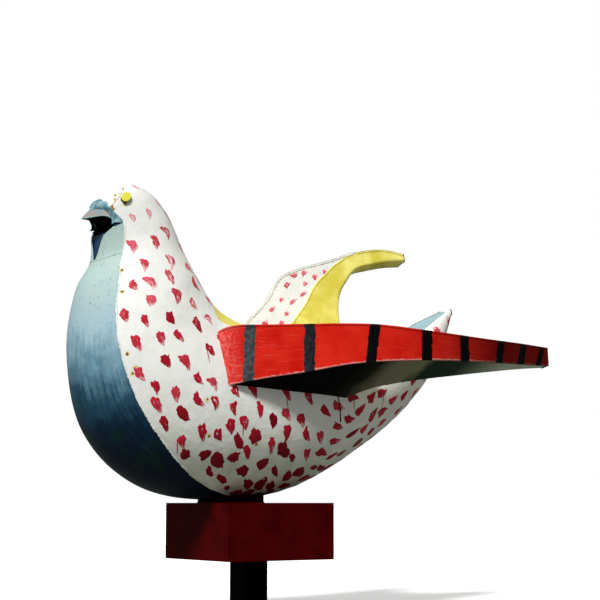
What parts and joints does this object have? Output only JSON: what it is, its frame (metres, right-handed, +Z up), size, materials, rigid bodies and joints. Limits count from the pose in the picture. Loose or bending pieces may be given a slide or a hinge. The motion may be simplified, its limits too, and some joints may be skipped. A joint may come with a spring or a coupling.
{
  "type": "dove figurine",
  "caption": "Large dove ornament of welded painted sheet steel with raised hollow wings, on a square plinth and a short square post.",
  "frame": {"origin": "centre of the post's open lower end", "axes": "+Z up along the post; the bird faces -X, its left side is -Y and its right side is +Y"},
  "size_m": [0.8841, 0.5219, 0.7713],
  "materials": {
    "white_paint": "brushed gloss paint, weathered, with dabs of crimson",
    "blue_paint": "brushed satin paint, pale at the throat and near black at the belly",
    "dark_blue_paint": "brushed satin paint",
    "yellow_paint": "brushed gloss paint",
    "red_paint": "brushed gloss paint with black stripes",
    "underside_paint": "thin dark paint, stained",
    "maroon_paint": "dark red satin paint",
    "black_paint": "black satin paint",
    "bare_steel": "mill scale with light rust"
  },
  "bodies": {
    "root": {"flank_left": "white_paint", "flank_right": "white_paint", "breast_plate": "blue_paint", "cheek_left": "blue_paint", "cheek_right": "blue_paint", "chin_plate": "dark_blue_paint", "saddle_plate": "yellow_paint", "tail_plate": "blue_paint", "forehead_plate": "white_paint", "upper_beak": "blue_paint", "eye_left": "yellow_paint", "eye_right": "yellow_paint", "wing_top_left": "white_paint", "wing_bottom_left": "underside_paint", "wing_rim_left": "red_paint", "wing_band_left": "yellow_paint", "wing_spar_left": "bare_steel", "wing_top_right": "white_paint", "wing_bottom_right": "underside_paint", "wing_rim_right": "white_paint", "wing_band_right": "yellow_paint", "wing_spar_right": "bare_steel", "stem_tube": "bare_steel", "spine_bar": "bare_steel", "neck_strut": "bare_steel", "tail_former": "bare_steel", "rear_former": "bare_steel", "middle_former": "bare_steel", "breast_former": "bare_steel", "post": "black_paint", "plinth_bottom": "maroon_paint", "plinth_top": "maroon_paint", "plinth_front": "maroon_paint", "plinth_rear": "maroon_paint", "plinth_left": "maroon_paint", "plinth_right": "maroon_paint", "collar": "maroon_paint"}
  },
  "joints": []
}
